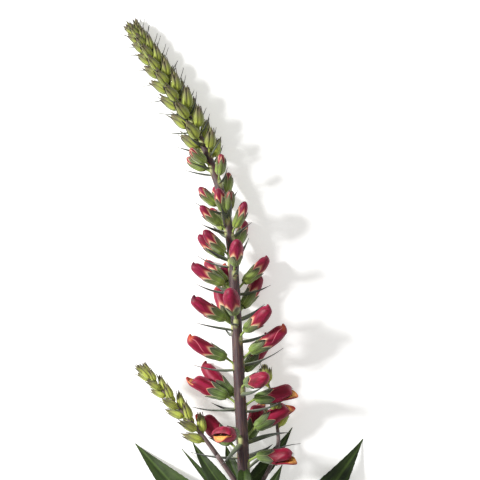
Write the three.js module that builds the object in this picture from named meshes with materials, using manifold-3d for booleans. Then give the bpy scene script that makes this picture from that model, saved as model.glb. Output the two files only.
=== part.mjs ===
import * as THREE from "three";
import { mergeVertices } from "three/addons/utils/BufferGeometryUtils.js";
import Module from "manifold-3d";

// A foxglove flower spike, picked and laid on its side. Millimetres. +Y runs along the stalk
// towards its tip, +Z is up from the surface that the spike lies on, and +X is to the right.
// A stalk carries florets in a spiral: nearly open bells at the bottom, closed red ones above
// them, and green buds at the tip. Each floret stands in the axil of a narrow bract, on a short
// pedicel, with a green calyx of five sepals round its red corolla. Two side shoots with green
// buds and eight leaves grow from the lower stalk.

// Where the cut end of the stalk stands, so that the origin is under the middle of the outline.
const foot = { x: 5.55, y: -247.46 };

// The stalk stands almost straight and then leans over to the left, near its tip.
const stalk = {
  length: 512,
  footRadius: 5.4,
  tipRadius: 1.2,
  sides: 8,
  step: 17,
  leanAtFoot: 2.9,
  leanAtTip: 32.3,
  bendFrom: 254,
  bendTo: 459,
};
// Height of the stalk's middle above the surface: its cut end and its tip droop to the surface,
// and the florets under it hold up the rest.
const height = { foot: 4.7, spike: 24, tip: 8, risesFrom: 16, risesTo: 125, droopsFrom: 300 };

// Florets are counted from the lowest. They stand in five rows round the stalk, because each is
// two fifths of a turn from the last, and they crowd together towards the tip.
const spiral = { count: 90, full: 102, firstTurn: 108, step: -144, span: 394, crowding: 1.84 };
// Florets that have dropped off, and those that are open.
const dropped = [10, 13, 14, 21, 26, 33, 39, 40];
const opened = [0, 1, 2, 3, 4, 6, 7];
// Florets as the photograph shows them, read off it by eye: the pixel column and row where the
// calyx starts, and those of the far end. The others keep to the spiral's rule.
const photo = { millimetresPerPixel: 0.85, footColumn: 250.5, footRow: 600 };
const seen = {
  0: [247, 440, 256, 406],
  1: [253, 455, 287, 451],
  2: [231, 443, 200, 411],
  3: [256, 428, 290, 402],
  4: [241, 431, 226, 427],
  5: [236, 394, 214, 370],
  6: [251, 398, 290, 386],
  7: [228, 396, 191, 375],
  8: [248, 371, 263, 347],
  9: [241, 381, 261, 371],
  11: [251, 351, 285, 325],
  12: [233, 357, 192, 333],
  15: [232, 323, 221, 297],
  16: [249, 329, 272, 305],
  17: [224, 319, 192, 297],
  18: [248, 307, 264, 276],
  19: [233, 312, 228, 287],
  22: [225, 283, 194, 263],
  23: [246, 282, 269, 256],
  24: [238, 264, 240, 239],
  25: [229, 282, 208, 260],
  27: [219, 257, 194, 234],
  28: [245, 245, 253, 219],
  29: [226, 251, 206, 230],
  30: [223, 229, 209, 208],
  31: [236, 226, 245, 200],
  32: [214, 226, 194, 207],
  34: [221, 212, 214, 190],
  36: [231, 208, 233, 190],
  37: [214, 206, 191, 182],
  38: [233, 191, 235, 169],
  41: [218, 175, 219, 155],
  42: [203, 170, 184, 158],
  43: [216, 154, 220, 136],
  44: [206, 162, 191, 149],
};
// A pedicel leans out of the stalk by this share of its floret's own spread, and a floret's axis
// stands these degrees off the line to its hooked tip.
const pedicelLean = 0.6;
const hookLean = 4;
// The florets that have turned red, and a bud among them that is late.
const redFlorets = 45;
const late = [43];

// Clearances between a corolla and its calyx, and between any two pieces; how deep a floret is
// pressed flat where it lies on the surface; and how thick the sepals and the blades are.
const calyxClearance = 0.35;
const seatClearance = 0.3;
const sinkIntoSurface = 0.3;
const sepalThickness = 0.9;
const bladeThickness = 0.9;
const sepals = 5;

// A green bud's outline: length shares and shares of its radius.
const budOutline = [
  [-0.06, 0.25],
  [0.26, 0.95],
  [0.7, 0.72],
];

// Side shoots. Each starts at a length along the stalk and a turn round it, and goes through
// points given from the stalk's cut end. None of its buds grows on its bare stretch.
const shoots = {
  side_shoot_left: {
    from: 92,
    turn: 215,
    through: [[-36, 134, 30], [-62, 165, 30], [-89, 193, 27]],
    thick: 2.3,
    buds: 18,
    firstAt: 0.36,
    firstTurn: 170,
    budLength: 16,
    turnsUp: false,
    bare: [1, 1],
  },
  side_shoot_right: {
    from: 78,
    turn: 350,
    through: [[23, 128, 14], [23, 146, 12], [19, 169, 17], [13, 191, 16]],
    thick: 2,
    buds: 13,
    firstAt: 0.5,
    firstTurn: 350,
    budLength: 14,
    turnsUp: true,
    bare: [0.68, 0.86],
  },
};

// Leaves: where each starts on the stalk, the point that its midrib bows towards and its tip, both
// from the stalk's cut end, and how far its sides fold up.
const bigLeaf = { steps: 10, fold: 0.19 };
const leaves = {
  leaf_low_left: { from: 46, turn: 178, bow: [-44, 72, 26], tip: [-99, 131, 0], width: 31, ...bigLeaf },
  leaf_low_right: { from: 32, turn: 2, bow: [50, 60, 28], tip: [97, 135, 0], width: 35, ...bigLeaf },
  leaf_left: { from: 76, turn: 175, bow: [-30, 100, 22], tip: [-49.5, 133, 9], width: 15, fold: 0.2 },
  leaf_left_narrow: { from: 68, turn: 160, bow: [-34, 98, 14], tip: [-59, 127, 5], width: 6.5, fold: 0.15 },
  leaf_back: { from: 96, turn: 125, bow: [-17, 110, 7], tip: [-21, 130, 2], width: 11, fold: 0.15 },
  leaf_right: { from: 97, turn: 85, bow: [16, 110, 5], tip: [36, 145, 4], width: 13, fold: 0.2 },
  leaf_right_upper: { from: 66, turn: 340, bow: [14, 88, 30], tip: [27, 115, 26], width: 13, fold: 0.2 },
  leaf_front: { from: 112, turn: 265, bow: [-4, 104, 40], tip: [-8, 66, 34], width: 13, fold: 0.25 },
};

const vec = (x, y, z) => new THREE.Vector3(x, y, z);
const radians = THREE.MathUtils.degToRad;
const smooth = (from, to, x) => THREE.MathUtils.smoothstep(x, from, to);
const fade = (from, to, x) => 1 - smooth(from, to, x);

// The same numbers between 0 and 1 on every run, one for each seed.
function chance(seed) {
  const wave = Math.sin(seed * 12.9898 + 4.1414) * 43758.5453;
  return wave - Math.floor(wave);
}
const jitter = (seed, amount) => (chance(seed) * 2 - 1) * amount;

// The stalk's middle line in millimetre steps, found by adding up its lean.
const leanRange = stalk.leanAtTip - stalk.leanAtFoot;
const leanAt = (s) => radians(stalk.leanAtFoot + leanRange * smooth(stalk.bendFrom, stalk.bendTo, s));
const heightAt = (s) =>
  height.foot +
  (height.spike - height.foot) * smooth(height.risesFrom, height.risesTo, s) -
  (height.spike - height.tip) * smooth(height.droopsFrom, stalk.length, s);
const stalkLine = [vec(0, 0, height.foot)];
for (let s = 1; s <= stalk.length; s++) {
  const lean = leanAt(s - 0.5);
  const last = stalkLine[s - 1];
  stalkLine.push(vec(last.x - Math.sin(lean), last.y + Math.cos(lean), heightAt(s)));
}

// The stalk at a length s from its cut end: its middle, its direction, and across it.
function stalkAt(s) {
  const step = Math.min(Math.floor(s), stalk.length - 1);
  const middle = stalkLine[step].clone().lerp(stalkLine[step + 1], s - step);
  const lean = leanAt(s);
  return {
    middle,
    along: vec(-Math.sin(lean), Math.cos(lean), 0),
    across: vec(Math.cos(lean), Math.sin(lean), 0),
    radius: THREE.MathUtils.lerp(stalk.footRadius, stalk.tipRadius, (s / stalk.length) ** 2.4),
  };
}

// Outwards from a stem at a turn round it: 0 is right, 90 is down, 180 is left and 270 is up.
function outwards(place, turn) {
  const across = place.across.clone().multiplyScalar(Math.cos(radians(turn)));
  return across.add(vec(0, 0, -Math.sin(radians(turn))));
}
const leaning = (place, out, angle) =>
  place.along.clone().multiplyScalar(Math.cos(angle)).addScaledVector(out, Math.sin(angle));

// The faces of a closed surface through rings of points. A ring of one point is a pole, and one
// ring may have twice the points of the next. An end that is no pole is closed with its middle.
function loft(rings) {
  const middleOf = (ring) =>
    ring.reduce((sum, p) => sum.add(p), vec(0, 0, 0)).divideScalar(ring.length);
  const closed = [...rings];
  if (closed[0].length > 1) closed.unshift([middleOf(closed[0])]);
  if (closed.at(-1).length > 1) closed.push([middleOf(closed.at(-1))]);
  const points = [];
  const faces = [];
  const starts = closed.map((ring) => points.push(...ring) - ring.length);
  for (let k = 0; k + 1 < closed.length; k++) {
    const grows = closed[k].length <= closed[k + 1].length;
    const [few, many] = grows ? [k, k + 1] : [k + 1, k];
    const [fewer, more] = [closed[few].length, closed[many].length];
    const near = (j) => starts[few] + (Math.ceil((j * fewer) / more) % fewer);
    const far = (j) => starts[many] + (j % more);
    for (let j = 0; j < more; j++) {
      const fan = [near(j), far(j + 1), far(j)];
      const gap = [near(j), near(j + 1), far(j + 1)];
      const both = near(j) === near(j + 1) ? [fan] : [fan, gap];
      for (const face of both) faces.push(...(grows ? face : face.reverse()));
    }
  }
  const shape = new THREE.BufferGeometry().setFromPoints(points);
  shape.setIndex(faces);
  return shape;
}

const wasm = await Module();
wasm.setup();
const { Manifold, Mesh } = wasm;

// A closed geometry as a solid with its faces out, less the faces that have no area.
function solidOf(shape) {
  shape.deleteAttribute("normal");
  shape.deleteAttribute("uv");
  const merged = mergeVertices(shape, 1e-3);
  const at = merged.attributes.position;
  const corner = (i) => vec(at.getX(i), at.getY(i), at.getZ(i));
  const triVerts = [];
  let volume = 0;
  for (let i = 0; i < merged.index.count; i += 3) {
    const [a, b, c] = [0, 1, 2].map((k) => merged.index.getX(i + k));
    if (a === b || b === c || a === c) continue;
    triVerts.push(a, b, c);
    volume += corner(a).dot(corner(b).cross(corner(c)));
  }
  if (volume < 0) triVerts.reverse();
  const faces = new Uint32Array(triVerts);
  return new Manifold(new Mesh({ numProp: 3, vertProperties: at.array, triVerts: faces }));
}

// Everything under the surface is taken away, so that what lies on it has a small flat spot.
const belowSurface = solidOf(new THREE.BoxGeometry(900, 1400, 60).translate(0, 200, -30));
const laid = (solid) => solid.subtract(belowSurface);
const largestOf = (solid) =>
  solid.decompose().reduce((best, part) => (part.volume() > best.volume() ? part : best));

// A ring of points round a middle, in the plane of two directions.
const ringRound = (middle, first, second, radius, count) =>
  Array.from({ length: count }, (_, j) => {
    const a = (2 * Math.PI * j) / count;
    const out = first.clone().multiplyScalar(Math.cos(a)).addScaledVector(second, Math.sin(a));
    return middle.clone().addScaledVector(out, radius);
  });

// A round stem through points, each with its radius.
function stemThrough(points, radii, sides) {
  const rings = points.map((point, k) => {
    const before = points[Math.max(k - 1, 0)];
    const after = points[Math.min(k + 1, points.length - 1)];
    const along = after.clone().sub(before).normalize();
    const right = along.clone().cross(vec(0, 0, 1)).normalize();
    const up = right.clone().cross(along);
    return ringRound(point, right, up, radii[k], sides);
  });
  return solidOf(loft(rings));
}

// A floret that would go through the surface bends up until it only just lies on it.
function rested(axis, base, length, radius) {
  const atTip = (radius * 0.45 - sinkIntoSurface - base.z) / length;
  const atBelly = (radius * 1.05 - sinkIntoSurface - base.z) / (length * 0.55);
  const least = Math.max(atTip, atBelly);
  if (axis.z >= least) return axis;
  const level = Math.sqrt(1 - least ** 2) / Math.hypot(axis.x, axis.y);
  return vec(axis.x * level, axis.y * level, least);
}

// Sets a floret or bud on a stem: where its foot is and its own directions. Its hood is on the
// side of the stem's tip.
function setOn(place, out, { spread, reach, length, radius }) {
  const base = place.middle
    .clone()
    .addScaledVector(out, place.radius)
    .addScaledVector(leaning(place, out, pedicelLean * spread), reach);
  base.z = Math.max(base.z, radius + 1.2);
  const axis = rested(leaning(place, out, spread), base, length, radius);
  const back = place.along.clone().addScaledVector(axis, -place.along.dot(axis)).normalize();
  const side = axis.clone().cross(back);
  const root = place.middle.clone().addScaledVector(out, place.radius * 0.3);
  return { root, base, axis, back, side, length, radius };
}

// How a floret stands that the photograph shows: its line there gives its spread and its turn,
// and the row of the spiral that it belongs to says whether it leans up or down.
function stanceSeen([startColumn, startRow, endColumn, endRow], rowTurn, reach, length) {
  const placeOf = (column, row) =>
    vec(column - photo.footColumn, photo.footRow - row, 0).multiplyScalar(photo.millimetresPerPixel);
  const start = placeOf(startColumn, startRow);
  const line = placeOf(endColumn, endRow).sub(start).divideScalar(length).clampLength(0, 0.99);
  const gaps = stalkLine.map((middle) => Math.hypot(middle.x - start.x, middle.y - start.y));
  const beside = gaps.indexOf(Math.min(...gaps));
  const { along, across } = stalkAt(beside);
  const slant = Math.acos(line.dot(along));
  const aside = THREE.MathUtils.clamp(line.dot(across) / Math.sin(slant), -1, 1);
  const isUp = Math.sin(radians(rowTurn)) < 0;
  const turn = THREE.MathUtils.radToDeg(Math.acos(aside)) * (isUp ? -1 : 1);
  const s = beside - reach * Math.cos(pedicelLean * slant);
  return { s, turn, spread: slant + radians(hookLean) };
}

// Where a floret of the spiral stands, and how grown it is.
function floretAt(n) {
  const low = 1 - n / spiral.full;
  const isOpen = opened.includes(n);
  const young = Math.min(1, low / 0.46) ** 0.45;
  const calyxLength = 17.5 * young;
  const length = calyxLength + 20 * fade(6, 50, n) * (isOpen ? 0.76 : 1);
  const reach = 2.5 + 8.5 * low ** 1.5;
  const rule = {
    s: stalk.length - spiral.span * low ** spiral.crowding,
    turn: spiral.firstTurn + spiral.step * n + jitter(n, 7),
    spread: radians(20 + 48 * low ** 2.2 + jitter(n + 200, 3)),
  };
  const { s, turn, spread } = seen[n] ? stanceSeen(seen[n], rule.turn, reach, length) : rule;
  const place = stalkAt(s);
  const out = outwards(place, turn);
  const isRed = n < redFlorets && !late.includes(n);
  const radius = isRed ? 4 + 2.6 * fade(8, 38, n) : 4.3 * young;
  const set = setOn(place, out, { spread, reach, length, radius });
  const hook = 0.15 + 0.45 * fade(18, 34, n);
  return { ...set, n, low, place, out, isOpen, isRed, calyxLength, hook, pedicel: 0.65 + 0.4 * low };
}

// Radius of a corolla as a share of its widest, and how far its middle swings to the hood side:
// an older bud is hooked at its tip, and a younger one is almost straight.
const swell = (f) =>
  f < 0.55
    ? 0.36 + 0.64 * Math.sin((Math.PI / 2) * (f / 0.55))
    : Math.max(0, 1 - ((f - 0.55) / 0.45) ** 2.8) ** 0.6;
const swing = (f, hook) => -0.14 * Math.sin(Math.PI * f) + hook * smooth(0.62, 1, f);

// A point on a floret, from its length share, its turn round it and a distance off its skin.
function onFloret(floret, f, turn, off) {
  const r = floret.radius * swell(f) + off;
  return floret.base
    .clone()
    .addScaledVector(floret.axis, f * floret.length)
    .addScaledVector(floret.back, r * Math.cos(turn) + floret.radius * swing(f, floret.hook))
    .addScaledVector(floret.side, r * Math.sin(turn));
}
// A ring has a column for each of the five sepals, and one for each notch between two.
const ringOf = (count, make) =>
  Array.from({ length: count }, (_, j) => make((2 * Math.PI * j) / count, (2 * sepals * j) / count));
const skinRing = (floret, f, count, off) => ringOf(count, (turn) => onFloret(floret, f, turn, off));

// Length shares at which the notches between sepals lie, and their tips.
const notchShare = (floret) => (0.45 * floret.calyxLength) / floret.length;
const tipShare = (floret) => Math.min(0.97, floret.calyxLength / floret.length);

// A long corolla stands far out of its calyx, and the youngest only just shows.
const isLong = (floret) => tipShare(floret) < 0.8;

// A closed red corolla: a plump tube with an upturned tip, grown by a little on all sides for
// the room that it takes.
function closedCorolla(floret, grown = 0) {
  const edge = tipShare(floret);
  const shares = isLong(floret) ? [edge, 0.8, 0.94] : [notchShare(floret), edge];
  const rings = shares.map((f) => skinRing(floret, f, 2 * sepals, grown));
  const heel = skinRing(floret, 0, sepals, grown).map((p) => p.addScaledVector(floret.axis, -grown));
  const tip = onFloret(floret, 1, 0, 0).addScaledVector(floret.axis, grown);
  return solidOf(loft([heel, ...rings, [tip]]));
}

// An open corolla: a bell with a hood over its mouth and a tongue-shaped lip in front. Its room
// has no mouth.
function openCorolla(floret, grown = 0) {
  const { base, axis, back, side, length, radius } = floret;
  const mouthRing = (tall, wide, depth) =>
    ringOf(2 * sepals, (turn) => {
      const lip = ((1 - Math.cos(turn)) / 2) ** 2;
      const reach = length * (1 - 0.06 * Math.sin(turn) ** 2 + 0.18 * lip) - depth;
      return base
        .clone()
        .addScaledVector(axis, reach)
        .addScaledVector(back, (radius * tall + grown) * Math.cos(turn) - radius * 0.1)
        .addScaledVector(side, (radius * wide + grown) * Math.sin(turn));
    });
  const heel = skinRing(floret, 0, sepals, grown).map((p) => p.addScaledVector(axis, -grown));
  const tube = [heel, skinRing(floret, tipShare(floret), 2 * sepals, grown), mouthRing(0.75, 1.02, 0)];
  const front = base.clone().addScaledVector(axis, length * 1.25);
  if (grown > 0) return solidOf(loft([...tube, [front]]));
  const throat = base.clone().addScaledVector(axis, length * 0.5);
  return solidOf(loft([...tube, mouthRing(0.45, 0.8, 2.2), mouthRing(0.32, 0.55, 9), [throat]]));
}
const corolla = (floret, grown) => (floret.isOpen ? openCorolla : closedCorolla)(floret, grown);

// The green calyx on its pedicel: a cup round the foot of the corolla with five pointed sepals.
function calyx(floret) {
  const { root, base, axis, back, side, pedicel } = floret;
  const notch = notchShare(floret);
  const edgeRing = (tip, off) =>
    ringOf(2 * sepals, (turn, column) => {
      const isNotch = column % 2 === 1;
      const lift = isNotch ? sepalThickness / 2 : off;
      return onFloret(floret, isNotch ? notch : tip, turn, calyxClearance + lift);
    });
  const elbow = root.clone().lerp(base, 0.85).addScaledVector(axis, -0.1 * floret.calyxLength);
  const seat = base.clone().addScaledVector(axis, -calyxClearance);
  const cup = skinRing(floret, 0, sepals, calyxClearance);
  return solidOf(
    loft([
      [root],
      ringRound(elbow, back, side, pedicel, sepals),
      skinRing(floret, 0, sepals, calyxClearance + sepalThickness),
      edgeRing(notch, sepalThickness),
      edgeRing(tipShare(floret), sepalThickness / 2),
      ...(isLong(floret) ? [] : [edgeRing(notch, 0)]),
      cup.map((point) => point.addScaledVector(axis, -calyxClearance)),
      [seat],
    ]),
  );
}

// A closed green bud on its pedicel: a pointed egg.
function greenBud({ root, base, axis, back, side, length, radius }) {
  const at = (f) => base.clone().addScaledVector(axis, f * length);
  const rings = budOutline.map(([f, share]) => ringRound(at(f), back, side, radius * share, sepals));
  return solidOf(loft([[root], ...rings, [at(1)]]));
}

// The narrow keeled bract below a floret: it stands out from the stem and its tip curls up.
function bract(place, out, { length, width, angle, curl }) {
  const direction = leaning(place, out, angle);
  const across = direction.clone().cross(out.clone().lerp(place.along, 0.7)).normalize();
  const under = across.clone().cross(direction).normalize();
  const low = place.middle.clone().addScaledVector(place.along, -0.1 * length);
  const root = low.addScaledVector(out, place.radius * 0.5);
  const at = (t) => {
    const point = root.clone().addScaledVector(direction, t * (length + place.radius * 0.5));
    point.addScaledVector(place.along, curl * length * t ** 2);
    point.z = Math.max(point.z, (1 - t) * bladeThickness / 2);
    return point;
  };
  const section = (t) => {
    const half = (width / 2) * Math.sin(Math.PI * (0.25 + 0.55 * t));
    return [
      at(t).addScaledVector(across, -half),
      at(t).addScaledVector(across, half),
      at(t).addScaledVector(under, bladeThickness),
    ];
  };
  const shares = length > 16 ? [0, 0.35, 0.7] : [0, 0.5];
  return solidOf(loft([...shares.map(section), [at(1)]]));
}
const floretBract = ({ n, low, place, out }) =>
  bract(place, out, {
    length: 12 + 30 * low ** 2.3,
    width: 2.2 + 4.2 * low ** 1.5,
    angle: radians(20 + 72 * low ** 0.9 + jitter(n + 500, 7)),
    curl: 0.14 + jitter(n + 700, 0.12),
  });

// Where a side shoot or a leaf starts, inside the stalk.
function leafBase(from, turn) {
  const place = stalkAt(from);
  return place.middle.clone().addScaledVector(outwards(place, turn), place.radius * 0.5);
}

// A side shoot: a thin stem, with small green buds and bracts in the same spiral. Buds that
// would lie on a floret under the shoot turn up, and none grow where a floret lies over it.
function sideShoot(shoot) {
  const { from, turn, through, thick, buds, firstAt, budLength, firstTurn, turnsUp, bare } = shoot;
  const line = new THREE.CatmullRomCurve3([leafBase(from, turn), ...through.map((p) => vec(...p))]);
  const points = line.getPoints(8);
  const radii = points.map((_, k) => thick * (1 - 0.07 * k));
  const solids = [stemThrough(points, radii, 6)];
  for (let k = 0; k < buds; k++) {
    const young = k / buds;
    const share = 1 - (1 - firstAt) * (1 - young) ** 1.25;
    const along = line.getTangent(share);
    const across = vec(along.y, -along.x, 0).normalize();
    const place = { middle: line.getPoint(share), along, across, radius: thick * (1 - 0.5 * share) };
    const out = outwards(place, firstTurn + spiral.step * k + jitter(k + 900 + from, 12));
    if (share > bare[0] && share < bare[1]) continue;
    if (turnsUp) out.z = Math.abs(out.z);
    const length = budLength * (1 - 0.4 * young);
    const spread = radians(36 - 20 * young);
    solids.push(greenBud(setOn(place, out, { spread, reach: 1.6, length, radius: 0.27 * length })));
    solids.push(bract(place, out, { length: 0.95 * length, width: 2.6, angle: 1.4 * spread, curl: 0.1 }));
  }
  const end = { middle: line.getPoint(0.95), along: line.getTangent(1), radius: thick * 0.3 };
  const last = { spread: 0.1, reach: 1, length: 0.7 * budLength, radius: 0.2 * budLength };
  solids.push(greenBud(setOn(end, vec(0, 0, 1), last)));
  return Manifold.union(solids);
}

// A leaf: a pointed blade along a bow from the stalk, folded up on both sides of its midrib,
// with a waved edge.
function leaf(shape) {
  const { from, turn, bow, tip, width, fold, steps = 7, waves = 2 } = shape;
  const line = new THREE.QuadraticBezierCurve3(leafBase(from, turn), vec(...bow), vec(...tip));
  const rings = Array.from({ length: steps }, (_, k) => {
    const t = k / steps;
    const along = line.getTangent(t);
    const across = along.clone().cross(vec(0, 0, 1)).normalize();
    const up = across.clone().cross(along).normalize();
    const half = (width / 2) * (0.16 * (1 - t) + 0.9 * Math.sin(Math.PI * t ** 0.78));
    const wave = 0.035 * width * Math.sin(2 * Math.PI * waves * t);
    const at = (share, raise) =>
      line
        .getPoint(t)
        .addScaledVector(across, share * half)
        .addScaledVector(up, Math.abs(share) * half * fold + share * wave + raise);
    const skin = bladeThickness / 2;
    const upper = [-1, -0.45, 0, 0.45, 1].map((share) => at(share, Math.abs(share) < 1 ? skin : 0));
    const lower = [0.45, 0, -0.45].map((share) => at(share, -skin));
    return [...upper, ...lower];
  });
  return solidOf(loft([...rings, [line.getPoint(1)]]));
}

const colours = {
  stalk: { color: 0x66703f, roughness: 0.6 },
  shoot: { color: 0x7d8b3c, roughness: 0.6 },
  corolla: { color: 0xa81f3c, roughness: 0.45 },
  leaf: { color: 0x2f4a26, roughness: 0.55 },
};
const spike = new THREE.Group();
spike.position.set(foot.x, foot.y, 0);

// Adds a solid to the spike as a named piece.
function add(name, solid, colour) {
  const { vertProperties, triVerts } = solid.getMesh();
  const shape = new THREE.BufferGeometry();
  shape.setAttribute("position", new THREE.BufferAttribute(vertProperties, 3));
  shape.setIndex(new THREE.BufferAttribute(triVerts, 1));
  shape.computeVertexNormals();
  const piece = new THREE.Mesh(shape, new THREE.MeshStandardMaterial(colours[colour]));
  piece.name = name;
  spike.add(piece);
}

// The stalk, with what is fused to it: calyxes on their pedicels, bracts and green buds.
const stations = [];
for (let s = 0; s < stalk.length; s += stalk.step) stations.push(stalkAt(s));
stations.push(stalkAt(stalk.length));
const stalkCore = (grow) =>
  stemThrough(
    stations.map((place) => place.middle),
    stations.map((place) => place.radius + grow),
    stalk.sides,
  );
const florets = Array.from({ length: spiral.count }, (_, n) => floretAt(n));
const here = florets.filter(({ n }) => !dropped.includes(n));
const red = here.filter(({ isRed }) => isRed);
const grown = here.flatMap((floret) => [
  floretBract(floret),
  floret.isRed ? calyx(floret) : greenBud(floret),
]);
const room = Manifold.union(red.map((floret) => corolla(floret, seatClearance)));
const clear = (solid) => largestOf(laid(solid.subtract(room)));
add("flower_stalk", clear(Manifold.union([stalkCore(0), ...grown])), "stalk");
for (const floret of red) {
  add(`corolla_${String(floret.n).padStart(2, "0")}`, laid(corolla(floret)), "corolla");
}

// Side shoots and leaves are cut to sit against the stalk.
const seated = (solid) => clear(solid.subtract(stalkCore(seatClearance)));
for (const [name, shoot] of Object.entries(shoots)) add(name, seated(sideShoot(shoot)), "shoot");
for (const [name, shape] of Object.entries(leaves)) add(name, seated(leaf(shape)), "leaf");

export default spike;
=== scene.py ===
# A picked foxglove flower spike that lies on a pale surface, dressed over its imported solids.
import math
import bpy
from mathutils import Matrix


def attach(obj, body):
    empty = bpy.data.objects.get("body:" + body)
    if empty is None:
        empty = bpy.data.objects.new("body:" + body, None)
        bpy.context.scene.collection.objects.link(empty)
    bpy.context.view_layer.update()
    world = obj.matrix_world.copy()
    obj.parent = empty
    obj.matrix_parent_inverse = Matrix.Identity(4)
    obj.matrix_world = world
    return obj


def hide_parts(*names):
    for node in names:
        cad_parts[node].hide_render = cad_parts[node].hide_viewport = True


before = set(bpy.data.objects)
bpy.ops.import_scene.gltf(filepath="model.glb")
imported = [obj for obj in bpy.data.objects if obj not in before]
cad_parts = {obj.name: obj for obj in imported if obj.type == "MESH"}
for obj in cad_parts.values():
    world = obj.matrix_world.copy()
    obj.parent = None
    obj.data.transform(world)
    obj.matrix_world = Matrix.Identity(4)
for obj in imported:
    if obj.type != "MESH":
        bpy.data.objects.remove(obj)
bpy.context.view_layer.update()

from types import SimpleNamespace

import bpy
import numpy as np
from mathutils import Vector

# The stalk is one fresh stem, round and faintly ribbed, with a purple-brown skin that turns pale
# green where a floret grows from it. It stands almost straight and leans over near its tip.
# Sizes are in millimetres from the middle of its cut end, until a piece is set down in metres.
cut_end = np.array([5.55, -247.46, 0])
stalk_length = 512
foot_radius = 5.4
tip_radius = 1.2
taper = 2.4
lean_at_foot = 2.9
lean_at_tip = 32.3
bend_from = 254
bend_to = 459
foot_height = 4.7
spike_height = 24
tip_height = 8
rises_from = 16
rises_to = 125
droops_from = 300


def smooth(low, high, x):
    """From 0 to 1 as x goes from low to high, without a corner."""
    share = np.clip((x - low) / (high - low), 0, 1)
    return share * share * (3 - 2 * share)


def unit(vectors):
    """One vector, or one in each row, made 1 long."""
    return vectors / np.linalg.norm(vectors, axis=-1, keepdims=True)


def lean_at(s):
    return np.radians(lean_at_foot + (lean_at_tip - lean_at_foot) * smooth(bend_from, bend_to, s))


def height_at(s):
    rise = (spike_height - foot_height) * smooth(rises_from, rises_to, s)
    return foot_height + rise - (spike_height - tip_height) * smooth(droops_from, stalk_length, s)


def radius_at(s):
    return foot_radius + (tip_radius - foot_radius) * (s / stalk_length) ** taper


half_steps = np.arange(stalk_length) + 0.5
stalk_line = np.zeros((stalk_length + 1, 3))
stalk_line[1:, 0] = -np.cumsum(np.sin(lean_at(half_steps)))
stalk_line[1:, 1] = np.cumsum(np.cos(lean_at(half_steps)))
stalk_line[:, 2] = height_at(np.arange(stalk_length + 1))


def middle_at(s):
    """The middle of the stalk at one or more lengths from its cut end."""
    s = np.asarray(s, dtype=float)
    step = np.minimum(s.astype(int), stalk_length - 1)
    return stalk_line[step] + (stalk_line[step + 1] - stalk_line[step]) * (s - step)[..., None]


def stalk_at(s):
    """The stalk at a length from its cut end: its middle, its direction, across it, its radius."""
    lean = lean_at(s)
    along = np.array([-math.sin(lean), math.cos(lean), 0])
    across = np.array([math.cos(lean), math.sin(lean), 0])
    return SimpleNamespace(middle=middle_at(s), along=along, across=across, radius=radius_at(s))


def outwards(place, turn):
    """Out of a stem at a turn round it: 0 is right, 90 is down, 180 is left and 270 is up."""
    return place.across * math.cos(math.radians(turn)) + np.array([0, 0, -math.sin(math.radians(turn))])


def corners(piece):
    """The places of a piece's corners, one in each row."""
    places = np.empty(len(piece.data.vertices) * 3)
    piece.data.vertices.foreach_get("co", places)
    return places.reshape(-1, 3)


def move_corners(piece, places):
    piece.data.vertices.foreach_set("co", np.asarray(places, dtype=float).ravel())
    piece.data.update()


def mark(piece, **marks):
    """Keeps a number, or three, for each corner under each name. The piece's finish reads them."""
    for name, values in marks.items():
        values = np.asarray(values, dtype=np.float32)
        if values.ndim == 0:
            values = np.full(len(piece.data.vertices), values)
        kind, field = ("FLOAT", "value") if values.ndim == 1 else ("FLOAT_VECTOR", "vector")
        layer = piece.data.attributes.get(name) or piece.data.attributes.new(name, kind, "POINT")
        layer.data.foreach_set(field, values.ravel())


def only(piece):
    """Selects a piece and nothing else."""
    bpy.ops.object.select_all(action="DESELECT")
    piece.select_set(True)
    bpy.context.view_layer.objects.active = piece


def sheet_of(columns, rows):
    """A flat grid from -1 to 1 across and from 0 to 1 along."""
    bpy.ops.object.select_all(action="DESELECT")
    bpy.ops.mesh.primitive_grid_add(x_subdivisions=columns, y_subdivisions=rows, size=2)
    grid = bpy.context.object
    places = corners(grid)
    places[:, 1] = (places[:, 1] + 1) / 2
    move_corners(grid, places)
    return grid


def set_down(piece, name, nodes, finish):
    """Sets a finished piece on the surface, in metres, in place of its solids."""
    places = corners(piece) + cut_end
    places[:, 2] = np.maximum(places[:, 2], 0)
    move_corners(piece, places * 0.001)
    piece.name = name
    piece.data.name = name
    piece.data.materials.clear()
    piece.data.materials.append(finish)
    only(piece)
    bpy.ops.object.shade_smooth()
    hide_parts(*nodes)
    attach(piece, "root")


def new_finish(name, sockets):
    """A material, with the values that are the same all over it."""
    finish = bpy.data.materials.new(name)
    finish.use_nodes = True
    for socket, value in sockets.items():
        finish.node_tree.nodes["Principled BSDF"].inputs[socket].default_value = value
    return finish


def node(finish, kind, settings, inputs):
    """Adds a node to a finish. Its inputs are values, links or the names of marks."""
    made = finish.node_tree.nodes.new(kind)
    for name, value in settings.items():
        setattr(made, name, value)
    for socket, value in inputs.items():
        if isinstance(value, str):
            value = marked(finish, value)
        if isinstance(value, bpy.types.NodeSocket):
            finish.node_tree.links.new(value, made.inputs[socket])
        else:
            made.inputs[socket].default_value = value
    return made


def marked(finish, name, output="Fac"):
    return node(finish, "ShaderNodeAttribute", {"attribute_name": name}, {}).outputs[output]


def mottle(finish, scale, detail=3):
    """Noise that follows the piece's own grain."""
    inputs = {"Vector": marked(finish, "grain", "Vector"), "Scale": scale, "Detail": detail}
    return node(finish, "ShaderNodeTexNoise", {}, inputs).outputs["Fac"]


def maths(finish, operation, first, second):
    return node(finish, "ShaderNodeMath", {"operation": operation}, {0: first, 1: second}).outputs[0]


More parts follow.
